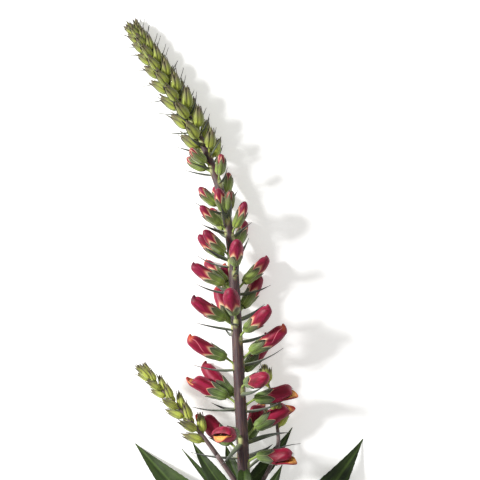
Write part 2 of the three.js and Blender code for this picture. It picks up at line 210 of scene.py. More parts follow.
def colour(tint):
    """What a shader needs for red, green and blue as on a screen, up to 255, or for a grey up to 1."""
    if isinstance(tint, tuple) and len(tint) == 3:
        return tuple((c / 255) ** 2.2 for c in tint) + (1,)
    return (tint, tint, tint, 1) if isinstance(tint, (int, float)) else tint


def ramp(finish, share, *stops):
    """Colours or greys that change along a share from 0 to 1, each with its place on it."""
    made = node(finish, "ShaderNodeValToRGB", {}, {"Fac": share})
    elements = made.color_ramp.elements
    while len(elements) < len(stops):
        elements.new(0.5)
    for element, (position, tint) in zip(elements, stops):
        element.position = position
        element.color = colour(tint)
    return made.outputs["Color"]


def blended(finish, share, under, over, how="MIX"):
    settings = {"data_type": "RGBA", "blend_type": how}
    return node(finish, "ShaderNodeMix", settings, {0: share, 6: colour(under), 7: colour(over)}).outputs[2]


def connect(finish, base_colour, relief, depth):
    """Leads the colour and the fine relief of a finish to its shader."""
    shader = finish.node_tree.nodes["Principled BSDF"]
    bump = node(finish, "ShaderNodeBump", {}, {"Height": relief, "Strength": 1, "Distance": depth})
    finish.node_tree.links.new(base_colour, shader.inputs["Base Color"])
    finish.node_tree.links.new(bump.outputs["Normal"], shader.inputs["Normal"])


# Where each floret stands on the stalk. They are counted from the lowest, each two fifths of a turn
# from the last, so that they stand in five rows, and they crowd together towards the tip.
florets = 90
florets_to_tip = 102
red_florets = 45
late_buds = {43}
first_turn = 108
turn_step = -144
spike_span = 394
crowding = 1.84
dropped = {10, 13, 14, 21, 26, 33, 39, 40}
opened = {0, 1, 2, 3, 4, 6, 7}
# Florets as the photograph shows them, read off it: the pixel column and row where the
# calyx starts, and those of the far end. The others keep to the spiral's rule.
pixel = 0.85
foot_pixel = (250.5, 600)
seen = {
    0: (247, 440, 256, 406),
    1: (253, 455, 287, 451),
    2: (231, 443, 200, 411),
    3: (256, 428, 290, 402),
    4: (241, 431, 226, 427),
    5: (236, 394, 214, 370),
    6: (251, 398, 290, 386),
    7: (228, 396, 191, 375),
    8: (248, 371, 263, 347),
    9: (241, 381, 261, 371),
    11: (251, 351, 285, 325),
    12: (233, 357, 192, 333),
    15: (232, 323, 221, 297),
    16: (249, 329, 272, 305),
    17: (224, 319, 192, 297),
    18: (248, 307, 264, 276),
    19: (233, 312, 228, 287),
    22: (225, 283, 194, 263),
    23: (246, 282, 269, 256),
    24: (238, 264, 240, 239),
    25: (229, 282, 208, 260),
    27: (219, 257, 194, 234),
    28: (245, 245, 253, 219),
    29: (226, 251, 206, 230),
    30: (223, 229, 209, 208),
    31: (236, 226, 245, 200),
    32: (214, 226, 194, 207),
    34: (221, 212, 214, 190),
    36: (231, 208, 233, 190),
    37: (214, 206, 191, 182),
    38: (233, 191, 235, 169),
    41: (218, 175, 219, 155),
    42: (203, 170, 184, 158),
    43: (216, 154, 220, 136),
    44: (206, 162, 191, 149),
}
# Florets' sizes in millimetres: the lowest have the least and the more together, and those of the
# tip the least alone. Calyxes are full grown up to this share of the spiral, counted from its
# end. Past its calyx, an open corolla is this much of a closed one's length.
longest_calyx = 17.5
calyx_full_from = 0.46
past_calyx = 20
open_shortens = 0.76
least_reach = 2.5
more_reach = 8.5
least_radius = 4
more_radius = 2.6
bud_radius = 4.3
least_pedicel = 0.65
more_pedicel = 0.4
# How far florets spread from the stalk, in degrees, and how their axis and pedicel follow.
least_spread = 20
more_spread = 48
hook_lean = 4
pedicel_lean = 0.6
pedicel_root = 0.3
# Where along a corolla it is widest, and how far its tip swings, as a share of its radius.
widest_at = 0.55
least_hook = 0.15
full_hook = 0.6
# How a floret lies on the surface: how thick it is there at its tip and at its belly, as shares
# of its radius, how deep it sinks in, and how far its foot stays above.
tip_thickness = 0.45
belly_thickness = 1.05
sink = 0.3
clearance = 1.2
# A floret whose sepals still cover its corolla, and how far along it they reach.
covered = {36: 1.03}
# Florets that are plumper than their age has it.
plump = {2: 1.12, 19: 1.2, 24: 1.14, 29: 1.1, 34: 1.14}
# Degrees that an open floret has rolled, so that its mouth turns up.
rolled = {1: 40, 2: 25, 3: 38, 6: 38, 7: 20}


def chance(seed):
    """The same number between 0 and 1 on every run, one for each seed."""
    return math.sin(seed * 12.9898 + 4.1414) * 43758.5453 % 1


def jitter(seed, amount):
    return (chance(seed) * 2 - 1) * amount


def leaning(place, out, angle):
    return place.along * math.cos(angle) + out * math.sin(angle)


def rested(axis, base, length, radius):
    """A floret that would go through the surface bends up until it only just lies on it."""
    at_tip = (radius * tip_thickness - sink - base[2]) / length
    at_belly = (radius * belly_thickness - sink - base[2]) / (length * widest_at)
    least = max(at_tip, at_belly)
    if axis[2] >= least:
        return axis
    level = math.sqrt(1 - least**2) / math.hypot(axis[0], axis[1])
    return np.array([axis[0] * level, axis[1] * level, least])


def set_on(place, out, spread, reach, length, radius):
    """Sets a floret or bud on a stem: where its foot is and its own directions."""
    base = place.middle + out * place.radius + leaning(place, out, pedicel_lean * spread) * reach
    base[2] = max(base[2], radius + clearance)
    axis = rested(leaning(place, out, spread), base, length, radius)
    back = unit(place.along - axis * np.dot(place.along, axis))
    root = place.middle + out * place.radius * pedicel_root
    directions = {"axis": axis, "back": back, "side": np.cross(axis, back)}
    return SimpleNamespace(root=root, base=base, length=length, radius=radius, **directions)


def stance_seen(n, rule_turn, reach, length):
    """How a floret stands that the photograph shows: its place on the stalk, turn and spread."""
    column, row, end_column, end_row = seen[n]
    start = np.array([column - foot_pixel[0], foot_pixel[1] - row, 0]) * pixel
    line = np.array([end_column - column, row - end_row, 0]) * pixel / length
    line *= min(1, 0.99 / np.linalg.norm(line))
    beside = np.argmin(np.hypot(stalk_line[:, 0] - start[0], stalk_line[:, 1] - start[1]))
    place = stalk_at(beside)
    slant = math.acos(np.dot(line, place.along))
    aside = np.clip(np.dot(line, place.across) / math.sin(slant), -1, 1)
    turn = math.degrees(math.acos(aside)) * (-1 if math.sin(math.radians(rule_turn)) < 0 else 1)
    return beside - reach * math.cos(pedicel_lean * slant), turn, slant + math.radians(hook_lean)


def floret_at(n):
    """One floret of the spike, and how grown it is."""
    low = 1 - n / florets_to_tip
    is_red = n < red_florets and n not in late_buds
    young = min(1, low / calyx_full_from) ** 0.45
    calyx_length = longest_calyx * young
    growth = (1 - smooth(6, 50, n)) * (open_shortens if n in opened else 1)
    length = calyx_length + past_calyx * growth
    reach = least_reach + more_reach * low**1.5
    s = stalk_length - spike_span * low**crowding
    turn = first_turn + turn_step * n + jitter(n, 7)
    spread = math.radians(least_spread + more_spread * low**2.2 + jitter(n + 200, 3))
    if n in seen:
        s, turn, spread = stance_seen(n, turn, reach, length)
    place = stalk_at(s)
    out = outwards(place, turn)
    radius = least_radius + more_radius * (1 - smooth(8, 38, n)) if is_red else bud_radius * young
    floret = set_on(place, out, spread, reach, length, radius)
    vars(floret).update(n=n, low=low, place=place, out=out, is_red=is_red, calyx_length=calyx_length)
    floret.hook = least_hook + (full_hook - least_hook) * (1 - smooth(18, 34, n))
    floret.pedicel = least_pedicel + more_pedicel * low
    floret.radius *= plump.get(n, 1)
    floret.tip_share = covered.get(n, min(0.97, calyx_length / floret.length))
    roll = math.radians(rolled.get(n, 0)) * (1 if floret.side[2] > 0 else -1)
    floret.back = floret.back * math.cos(roll) + floret.side * math.sin(roll)
    floret.side = np.cross(floret.axis, floret.back)
    return floret


spike = [floret_at(n) for n in range(florets) if n not in dropped]
red = [floret for floret in spike if floret.is_red]
green = [floret for floret in spike if not floret.is_red]

# The stalk's own mesh: a sheet rolled into a tube and welded, with five soft ribs down its rows
# of florets, a swelling at each, and a cut face with a paler pith.
rib_height = 0.02
unevenness = 0.012
swelling = 0.55
swelling_width = 2.1
swelling_ahead = 2.2
swelling_below_red = 5.5
swelling_below_bud = 3
stalk = sheet_of(30, 420)
sheet = corners(stalk)
lengths = sheet[:, 1] * stalk_length
turns = np.pi * sheet[:, 0]
leans = lean_at(lengths)
out_of_stalk = np.stack([np.cos(leans), np.sin(leans), np.zeros(len(leans))], axis=1)
out_of_stalk *= np.cos(turns)[:, None]
out_of_stalk[:, 2] = -np.sin(turns)
ribs = np.cos(5 * (turns - math.radians(first_turn)))
wander = np.sin(lengths * 0.021 + 1.3) * 0.5 + np.sin(lengths * 0.053) * 0.3
uneven = unevenness * np.cos(3 * turns + wander * 3)
radii = radius_at(lengths) * (1 + rib_height * ribs - rib_height + uneven)
skin = middle_at(lengths) + out_of_stalk * radii[:, None]
near_floret = np.zeros(len(skin))
for floret in spike:
    root = floret.place.middle + floret.out * floret.place.radius
    ahead = (skin - root) @ floret.place.along
    aside = np.linalg.norm(skin - root - ahead[:, None] * floret.place.along, axis=1)
    stretch = np.where(ahead > 0, swelling_ahead, swelling_below_red if floret.is_red else swelling_below_bud)
    near = np.exp(-((aside / swelling_width) ** 2) - (ahead / stretch) ** 2)
    near_floret = np.maximum(near_floret, near)
skin += out_of_stalk * (swelling * near_floret * radii / foot_radius)[:, None]
move_corners(stalk, skin)
grain = np.stack([np.cos(turns) * 3, np.sin(turns) * 3, lengths * 0.03], axis=1)
mark(stalk, grain=grain, near_floret=near_floret, lower=1 - smooth(30, 105, lengths), pith=0)
only(stalk)
bpy.ops.object.mode_set(mode="EDIT")
bpy.ops.mesh.select_all(action="SELECT")
bpy.ops.mesh.remove_doubles(threshold=0.001)
bpy.ops.mesh.normals_make_consistent(inside=False)
bpy.ops.mesh.select_all(action="DESELECT")
bpy.ops.mesh.select_mode(type="EDGE")
bpy.ops.mesh.select_non_manifold()
bpy.ops.mesh.edge_face_add()
bpy.ops.object.mode_set(mode="OBJECT")
for face in stalk.data.polygons:
    face.select = len(face.vertices) > 4
bpy.ops.object.mode_set(mode="EDIT")
bpy.ops.mesh.select_mode(type="FACE")
bpy.ops.mesh.inset(thickness=0.35, depth=0)
bpy.ops.mesh.inset(thickness=0.8, depth=-0.15)
bpy.ops.mesh.poke()
bpy.ops.object.mode_set(mode="OBJECT")
from_middle = np.linalg.norm(corners(stalk) - stalk_line[0], axis=1) / foot_radius
mark(stalk, pith=(from_middle < 0.93) * 1.0 + (from_middle < 0.75) * 1.0)

stalk_skin = new_finish("stalk_skin", {"Roughness": 0.5, "Sheen Weight": 0.15, "Subsurface Weight": 0.05})
purple = ramp(stalk_skin, mottle(stalk_skin, 1.2, 4), (0.3, (44, 27, 34)), (0.7, (72, 48, 53)))
streaks = ramp(stalk_skin, mottle(stalk_skin, 2.6, 2), (0.5, 0), (0.68, 1))
purple = blended(stalk_skin, streaks, purple, blended(stalk_skin, 0.6, purple, (104, 84, 64)))
skin_colour = blended(stalk_skin, "lower", purple, (98, 94, 66))
near = ramp(stalk_skin, "near_floret", (0.15, 0), (0.75, 1))
skin_colour = blended(stalk_skin, near, skin_colour, (164, 168, 110))
cut_face = ramp(stalk_skin, "pith", (0, (120, 140, 80)), (0.5, (158, 180, 110)), (1, (214, 222, 180)))
is_cut = maths(stalk_skin, "GREATER_THAN", "pith", 0.3)
skin_colour = blended(stalk_skin, is_cut, skin_colour, cut_face)
connect(stalk_skin, skin_colour, mottle(stalk_skin, 6, 5), 0.0002)
set_down(stalk, "stalk", ["flower_stalk"], stalk_skin)

# The corollas are red tubes, each a plump bell of five fused petals. The upper ones are still
# closed: their lobes fold over each other into a round end, and on an older one the lower lobe
# ends in a small beak, which stands up towards the stalk's tip.
bell_sides = 20
long_for_wide = 5.6
body_shares = [0.02, 0.06, 0.12, 0.2, 0.3, 0.4, 0.5, 0.6, 0.7, 0.78, 0.85]
round_end = [0.9, 0.94, 0.97, 0.988, 0.997]
# The beak's rings: place along, place back, width, height, and tilt in degrees.
beak = [
    (0.92, 0.04, 0.72, 0.74, 3),
    (0.957, 0.12, 0.55, 0.6, 12),
    (0.98, 0.3, 0.35, 0.41, 32),
    (0.992, 0.56, 0.2, 0.23, 54),
    (0.998, 0.8, 0.08, 0.09, 74),
]
# Sepals: degrees from one to the next, where they part, and how they narrow from there.
sepal_turn = 72
notch = 0.5
sepal_taper = 1.9
# The hood's edge, as a share of the way round from its ridge: where along the corolla it comes
# forward, and where it lies before and after that.
edge_from = 0.45
edge_to = 0.92
edge_before = 0.7
edge_after = 0.4
# Florets that face the camera show no beak. Then how orange or dark some tips are, and whose
# fold has a pale line.
rounded = {9, 19, 24, 29}
orange_tipped = {11: 0.7, 12: 0.75, 25: 0.8, 30: 0.8, 15: 0.5, 20: 0.6, 35: 0.5}
dark_tipped = {17: 1, 18: 1, 22: 0.8, 23: 0.3, 28: 0.5, 27: 0.3}
pale_folded = {11, 12}


def swell(f):
    """The radius of a corolla at a share of its length, as a share of its widest."""
    opening = 0.36 + 0.64 * np.sin(np.pi / 2 * np.minimum(f, widest_at) / widest_at)
    closing = np.maximum(0, 1 - (np.maximum(f - widest_at, 0) / (1 - widest_at)) ** 2.8) ** 0.6
    return np.where(f < widest_at, opening, closing)


def swing(f, hook):
    """How far a corolla's middle swings towards the stalk's tip."""
    return -0.14 * np.sin(np.pi * f) + hook * smooth(0.62, 1, f)


def tube_of_rings(sides, rings):
    """A closed tube drawn ring by ring: each has its place along and back, and its two radii."""
    bpy.ops.object.select_all(action="DESELECT")
    along, back, wide, tall = rings[0][:4]
    bpy.ops.mesh.primitive_circle_add(vertices=sides, radius=1, location=(0, back, along))
    bpy.ops.object.transform_apply(location=True, rotation=False, scale=False)
    bpy.ops.object.mode_set(mode="EDIT")
    bpy.ops.mesh.select_mode(type="VERT")
    bpy.ops.mesh.select_all(action="SELECT")
    bpy.ops.transform.resize(value=(wide, tall, 1), center_override=(0, back, along))
    for step in rings[1:]:
        move = {"value": (0, step[1] - back, step[0] - along)}
        bpy.ops.mesh.extrude_region_move(TRANSFORM_OT_translate=move)
        size = (step[2] / wide, step[3] / tall, 1)
        along, back, wide, tall = step[:4]
        bpy.ops.transform.resize(value=size, center_override=(0, back, along))
    bpy.ops.mesh.edge_face_add()
    bpy.ops.mesh.select_all(action="DESELECT")
    bpy.ops.mesh.select_non_manifold()
    bpy.ops.mesh.edge_face_add()
    bpy.ops.mesh.select_all(action="SELECT")
    bpy.ops.mesh.normals_make_consistent(inside=False)
    bpy.ops.object.mode_set(mode="OBJECT")
    return bpy.context.object


def modified(piece, kind, **settings):
    """Applies a modifier to a piece."""
    only(piece)
    modifier = piece.modifiers.new("shape", kind)
    for name, value in settings.items():
        setattr(modifier, name, value)
    bpy.ops.object.modifier_apply(modifier=modifier.name)


def copy_of(piece):
    copy = piece.copy()
    copy.data = piece.data.copy()
    bpy.context.collection.objects.link(copy)
    return copy


def read_mark(piece, name):
    layer = piece.data.attributes[name]
    size = 3 if layer.data_type == "FLOAT_VECTOR" else 1
    values = np.empty(len(piece.data.vertices) * size, dtype=np.float32)
    layer.data.foreach_get("vector" if size == 3 else "value", values)
    return values.reshape(-1, 3) if size == 3 else values


def within(floret, x, y, z):
    """Points in a floret: widths to its side, widths to its back, and lengths along it."""
    across = np.multiply.outer(x, floret.side) + np.multiply.outer(y, floret.back)
    return floret.base + across * floret.radius + np.multiply.outer(z, floret.axis) * floret.length


def past_sepals(floret, f, turns):
    """How many millimetres a point of a corolla is past the edge of its sepals."""
    aside = np.abs((turns / math.radians(sepal_turn) + 0.5) % 1 - 0.5) * 2
    edge = (notch + (1 - notch) * (1 - aside) ** (1 / sepal_taper)) * floret.tip_share
    return (f - edge) * floret.length


def bell_of(rings, sides, inner_from=99):
    """A tube of rings, each tilted back by its fifth number, with each corner's share and turn kept."""
    bell = tube_of_rings(sides, rings)
    shape = corners(bell)
    ring = np.repeat(np.arange(len(rings)), sides)
    share, back, wide, tall, tilt = np.array(rings)[ring].T
    above = shape[:, 1] - back
    mark(bell, inside=ring >= inner_from, share=share, sine=shape[:, 0] / wide, cosine=above / tall)
    shape[:, 1] = back + above * np.cos(np.radians(tilt))
    shape[:, 2] -= above * np.sin(np.radians(tilt)) / long_for_wide
    move_corners(bell, shape)
    return bell


young_rings = [(f, swing(f, least_hook), swell(f), swell(f), 0) for f in body_shares + round_end]
young_bell = bell_of(young_rings, bell_sides)
old_widths = np.interp(body_shares, [0.6, 0.7, 0.78, 0.85], [1, 0.985, 0.95, 0.88])
old_widths = np.where(np.array(body_shares) < 0.6, swell(np.array(body_shares)), old_widths)
old_rings = [(f, swing(f, least_hook), w, w, 0) for f, w in zip(body_shares, old_widths)]
old_bell = bell_of(old_rings + beak, bell_sides)
young_shape = corners(young_bell)
old_shape = corners(old_bell)


def closed_shape(floret, bell):
    """A closed corolla, rounded, with the hood's edge a little proud of what it folds over."""
    hooked = 0 if floret.n in rounded else (floret.hook - least_hook) / (full_hook - least_hook)
    move_corners(bell, young_shape * (1 - hooked) + old_shape * hooked)
    modified(bell, "SUBSURF", levels=1, render_levels=1)
    shape = corners(bell)
    f = read_mark(bell, "share")
    turns = np.arctan2(read_mark(bell, "sine"), read_mark(bell, "cosine"))
    hood_edge = edge_before - (edge_before - edge_after) * smooth(edge_from, edge_to, f)
    over_edge = np.abs(turns) / np.pi - hood_edge
    past_edge = smooth(-0.05, 0.05, over_edge) * smooth(0.42, 0.6, f)
    before_edge = smooth(0.05, -0.05, over_edge) * smooth(0.42, 0.6, f)
    proud = 1 + (0.045 * before_edge - 0.05 * past_edge) * smooth(0.93, 0.88, f)
    middle = swing(f, least_hook)
    shape[:, 0] *= proud
    shape[:, 1] = middle + (shape[:, 1] - middle) * proud
    return shape, f, turns


def dress_corolla(piece, floret, shape, f, turns, inside=0, lip=0):
    """Sets a corolla in its place, with the marks that its colours follow."""
    n = floret.n
    move_corners(piece, within(floret, *shape.T))
    margin_width = 1.2 + 6.4 * smooth(4, 16, n) - 3 * smooth(25, 40, n)
    at_tip = smooth(0.86, 0.96, f) * smooth(-0.9, 0.2, np.cos(turns) + 3 * (f - 0.9))
    mark(
        piece,
        grain=shape * [1, 1, 0.3] + n * 3.7,
        past_sepals=past_sepals(floret, f, turns) / margin_width,
        share=f,
        round=np.abs(turns) / np.pi,
        orange_tip=at_tip * orange_tipped.get(n, 0) * (1 - inside),
        dark_tip=smooth(0.93, 0.97, f) * dark_tipped.get(n, 0) * (1 - inside),
        age=1 - smooth(4, 34, n),
        folded=n not in opened,
        pale_fold=n in pale_folded,
        inside=inside,
        lip=lip,
    )
    name = f"{n:02d}"
    set_down(piece, "petals_" + name, ["corolla_" + name], petal)


def between(finish, value, low, high, from_value, to_value):
    """A value led smoothly from one range to another."""
    inputs = {0: value, 1: low, 2: high, 3: from_value, 4: to_value}
    return node(finish, "ShaderNodeMapRange", {"interpolation_type": "SMOOTHSTEP"}, inputs).outputs[0]


petal = new_finish(
    "petal",
    {
        "Roughness": 0.52,
        "Subsurface Weight": 0.06,
        "Subsurface Radius": (1, 0.25, 0.15),
        "Subsurface Scale": 0.002,
        "Sheen Weight": 0.3,
        "Sheen Roughness": 0.35,
        "Sheen Tint": (1, 0.4, 0.6, 1),
        "Specular IOR Level": 0.32,
    },
)
patches = mottle(petal, 2.2, 4)
old_red = ramp(petal, patches, (0.3, (100, 6, 30)), (0.52, (136, 12, 48)), (0.75, (162, 28, 72)))
young_red = ramp(petal, patches, (0.3, (98, 10, 36)), (0.52, (124, 22, 54)), (0.75, (150, 42, 80)))
crimson = blended(petal, "age", young_red, old_red)
veins = ramp(petal, mottle(petal, 9, 1), (0.42, 0.74), (0.55, 1))
crimson = blended(petal, 0.6, crimson, veins, "MULTIPLY")
pale, warm, rosy, deep = (218, 198, 158), (202, 152, 122), (172, 78, 72), (130, 28, 52)
margin = ramp(petal, "past_sepals", (0, pale), (0.22, warm), (0.5, rosy), (0.85, deep))
petal_colour = blended(petal, ramp(petal, "past_sepals", (0.4, 1), (1, 0)), crimson, margin)
petal_colour = blended(petal, "dark_tip", petal_colour, (84, 18, 40))
petal_colour = blended(petal, "orange_tip", petal_colour, (196, 88, 44))
# A fine line along the hood's edge, and a step up to the hood there. On most florets the line is
# painted shade, dark, in the crease where the hood folds over; on some it is a pale line.
hood_edge = between(petal, "share", edge_from, edge_to, edge_before, edge_after)
past_edge = maths(petal, "SUBTRACT", "round", hood_edge)
nearness = ramp(petal, maths(petal, "ABSOLUTE", past_edge, 0), (0.006, 1), (0.022, 0))
shows = maths(petal, "MULTIPLY", between(petal, "share", 0.5, 0.62, 0, 0.75), "folded")
crease_shade_and_pale_line = blended(petal, "pale_fold", (84, 8, 26), (226, 130, 140))
petal_colour = blended(petal, maths(petal, "MULTIPLY", nearness, shows), petal_colour, crease_shade_and_pale_line)
# The inside's colours: painted shade, dark red, deep in the tube and under the hood, then orange and
# orange-yellow on the tongue, and red at its rim.
throat_and_shade_tints = [(104, 16, 26), (222, 106, 52), (252, 184, 92), (252, 146, 92), (214, 74, 76)]
throat = ramp(petal, "lip", *zip((0, 0.4, 0.62, 0.82, 1), throat_and_shade_tints))
petal_colour = blended(petal, "inside", petal_colour, throat)
on_hood = ramp(petal, maths(petal, "ADD", maths(petal, "MULTIPLY", past_edge, 12), 0.5), (0, 1), (1, 0))
step_up = maths(petal, "MULTIPLY", on_hood, maths(petal, "MULTIPLY", shows, 1.5))
connect(petal, petal_colour, maths(petal, "ADD", mottle(petal, 5, 4), step_up), 0.00022)

for floret in red:
    if floret.n not in opened:
        piece = copy_of(young_bell)
        dress_corolla(piece, floret, *closed_shape(floret, piece))
bpy.data.objects.remove(young_bell)
bpy.data.objects.remove(old_bell)

# The lowest corollas are open. A hood closes over a narrow mouth, and the lower petal is a longer
# tongue, orange-yellow on its upper side, as the throat is. Dark hairs stand along the mouth, and
# four stamens and a style lie inside, under the hood.
wall = 0.1
outer_shares = [0.02, 0.06, 0.14, 0.24, 0.36, 0.48, 0.6, 0.7, 0.78, 0.85, 0.91, 0.95, 0.975, 0.99]
inner_shares = [0.985, 0.965, 0.93, 0.87, 0.78, 0.65, 0.48]
# How high the hood, how low the floor and how wide the tube is at shares past body_end.
body_end = 0.7
end_shares = [0.7, 0.78, 0.85, 0.91, 0.95, 0.975, 0.99]
hood_heights = [0.93, 0.97, 0.93, 0.79, 0.56, 0.31, 0.06]
floor_heights = [-1.02, -1, -0.94, -0.86, -0.78, -0.7, -0.64]
half_widths = [0.97, 0.99, 1, 0.98, 0.94, 0.9, 0.86]
# What differs from mouth to mouth: how much wider than its tube it is, how far its tongue droops,
# reaches and flares, how far back its corners lie, from how near the ridge the hood is cut back
# to them, and how high it lifts. Then how orange each tongue is on its outer side.
mouths = {
    1: {"wide": 1.2, "droop": -0.4, "tongue": 0.04, "corner": 0.55, "gape": 0.15, "flare": 0.75, "cut": 1},
    2: {"droop": 0.3},
    3: {"wide": 1.1, "droop": -0.2, "flare": 0.2},
    4: {"wide": 1.5, "droop": -0.6, "tongue": 0.13, "corner": 0.16, "gape": 0.08},
    6: {"wide": 1.15, "droop": -0.3, "tongue": 0.11, "corner": 0.35, "gape": 0.1, "flare": 0.35, "cut": 0.8},
    7: {"droop": 0.5},
}
orange_tongues = {3: 1, 6: 0.8, 1: 0.6, 0: 0.4, 7: 0.5}

outer = [(f, 0, 1, 1, 0) for f in outer_shares]
inner = [(f, 0, 1 - wall, 1 - wall, 0) for f in inner_shares]
open_bell = bell_of(outer + inner, 32, len(outer))
modified(open_bell, "SUBSURF", levels=1, render_levels=1)
kept = "share", "inside", "sine", "cosine"
open_share, inside, sine, cosine = [read_mark(open_bell, name) for name in kept]
size = np.hypot(sine, cosine)
size = np.where(size > 0.9, size, 1)
sine, cosine = sine / size, cosine / size
open_turns = np.arctan2(sine, cosine)


def open_place(
    f, sine, cosine, inside, wide=1, droop=0, tongue=0.2, corner=0.12, gape=0, flare=0, cut=0.35
):
    """Points of an open corolla in its own lengths and widths: a hood over a tongue."""
    is_body = f < body_end
    middle = swing(f, full_hook)
    hood = np.where(is_body, middle + swell(f), np.interp(f, end_shares, hood_heights)) - wall * inside
    hood = hood + gape * smooth(0.75, 0.99, f)
    floor = np.where(is_body, middle - swell(f), np.interp(f, end_shares, floor_heights)) + wall * inside
    half = np.where(is_body, swell(f), np.interp(f, end_shares, half_widths)) - wall * inside
    meeting = np.where(is_body, middle, np.interp(f, [body_end, 0.99], [-0.05, -0.2]))
    near_mouth = smooth(body_end, 0.99, f)
    turns = np.arctan2(sine, cosine)
    on_tongue = np.exp(-(((np.pi - np.abs(turns)) / 1.05) ** 2.6))
    on_side = (1 - on_tongue) * smooth(cut, -0.2, cosine)
    places = np.empty((len(f), 3))
    places[:, 0] = half * sine * (1 + (wide - 1) * smooth(0.35, 0.9, f))
    places[:, 1] = meeting + np.where(cosine > 0, hood - meeting, meeting - floor) * cosine
    places[:, 2] = f + tongue * on_tongue * near_mouth**1.5
    places[:, 2] -= corner * on_side * smooth(0.45, 0.99, f) ** 1.5
    palate = np.exp(-(((places[:, 2] - 0.97) / 0.1) ** 2)) * (1 - 0.25 * np.abs(sine))
    places[:, 1] += inside * on_tongue * 0.6 * palate
    lowered = flare * smooth(0.7, 1.1, places[:, 2]) - droop * smooth(0.97, 1.22, places[:, 2])
    places[:, 1] -= lowered * on_tongue
    return places, on_tongue


open_ones = [(floret, mouths.get(floret.n, {})) for floret in red if floret.n in opened]
lip_inside = np.clip(inside * 1.6 - 0.3, 0, 1)
for floret, mouth in open_ones:
    shape, on_tongue = open_place(open_share, sine, cosine, inside, **mouth)
    # Where a point lies on the inside's colours: low deep in the tube, rising towards the mouth and onto the
    # tongue, and held low under the hood, which is painted dark there as shade.
    lip = 0.15 + 0.5 * smooth(0.72, 0.96, shape[:, 2]) + 0.4 * smooth(1, 1.2, shape[:, 2])
    lip += 0.25 * smooth(0.62, 0.95, np.abs(sine) * on_tongue) * smooth(0.9, 1.05, shape[:, 2])
    lip *= 1 - 0.7 * smooth(0, 0.4, cosine)
    piece = copy_of(open_bell)
    outer_orange = smooth(0.98, 1.1, shape[:, 2]) * on_tongue * orange_tongues.get(floret.n, 0)
    dress_corolla(piece, floret, shape, open_share, open_turns, lip_inside, lip)
    mark(piece, orange_tip=outer_orange * (1 - lip_inside))
bpy.data.objects.remove(open_bell)


def joined(pieces):
    only(pieces[0])
    for piece in pieces:
        piece.select_set(True)
    bpy.ops.object.join()
    return pieces[0]


bpy.ops.object.select_all(action="DESELECT")
bpy.ops.mesh.primitive_cylinder_add(vertices=8, radius=1, depth=1, location=(0, 0, 0.5))
rod = bpy.context.object
bpy.ops.object.transform_apply(location=True, rotation=False, scale=False)
bpy.ops.object.mode_set(mode="EDIT")
for k in range(1, 8):
    bpy.ops.mesh.select_all(action="SELECT")
    bpy.ops.mesh.bisect(plane_co=(0, 0, k / 8), plane_no=(0, 0, 1))
bpy.ops.object.mode_set(mode="OBJECT")
bpy.ops.object.select_all(action="DESELECT")
bpy.ops.mesh.primitive_cone_add(vertices=3, radius1=1, radius2=0, depth=1, location=(0, 0, 0.5))
lash = bpy.context.object
bpy.ops.object.transform_apply(location=True, rotation=False, scale=False)


def rod_along(points, radii):
    """A copy of the straight rod, bent along points, with a radius at each."""
    points = np.asarray(points, dtype=float)
    shape = corners(rod)
    at = shape[:, 2] * (len(points) - 1)
    step = np.minimum(at.astype(int), len(points) - 2)
    part = (at - step)[:, None]
    ways = np.gradient(points, axis=0)
    way = unit(ways[step] * (1 - part) + ways[step + 1] * part)
    right = unit(np.cross(way, [0, 0, 1.0]) + [1e-6, 0, 0])
    radius = np.interp(at, np.arange(len(points)), radii)[:, None]
    middle = points[step] * (1 - part) + points[step + 1] * part
    bent = copy_of(rod)
    over = shape[:, :1] * right + shape[:, 1:2] * np.cross(right, way)
    move_corners(bent, middle + over * radius)
    mark(bent, grain=np.stack([shape[:, 0] * 2, shape[:, 1] * 2, at * 0.5], axis=1), rim=0, along=0.2)
    return bent


def lash_between(root, end, thick):
    """A copy of the straight hair between two points."""
    along = end - root
    right = unit(np.cross(along, [0.3, 0.2, 1]))
    up = unit(np.cross(right, along))
    shape = corners(lash)
    hair = copy_of(lash)
    over = np.outer(shape[:, 0] * thick, right) + np.outer(shape[:, 1] * thick, up)
    move_corners(hair, root + over + np.outer(shape[:, 2], along))
    mark(hair, tint=0)
    return hair


stamen_skin = new_finish("stamen_skin", {"Roughness": 0.5})
stamen_tints = [(34, 12, 14), (214, 160, 128), (226, 176, 92), (150, 104, 48)]
stamen_colour = ramp(stamen_skin, "tint", *zip((0, 0.4, 0.7, 1), stamen_tints))
connect(stamen_skin, stamen_colour, mottle(stamen_skin, 8, 3), 0.0001)
# Each stamen's place across and its length. The last is the style, which has no anthers.
threads = [(-0.34, 0.86), (0.34, 0.86), (-0.15, 0.93), (0.15, 0.93), (0, 0.98)]
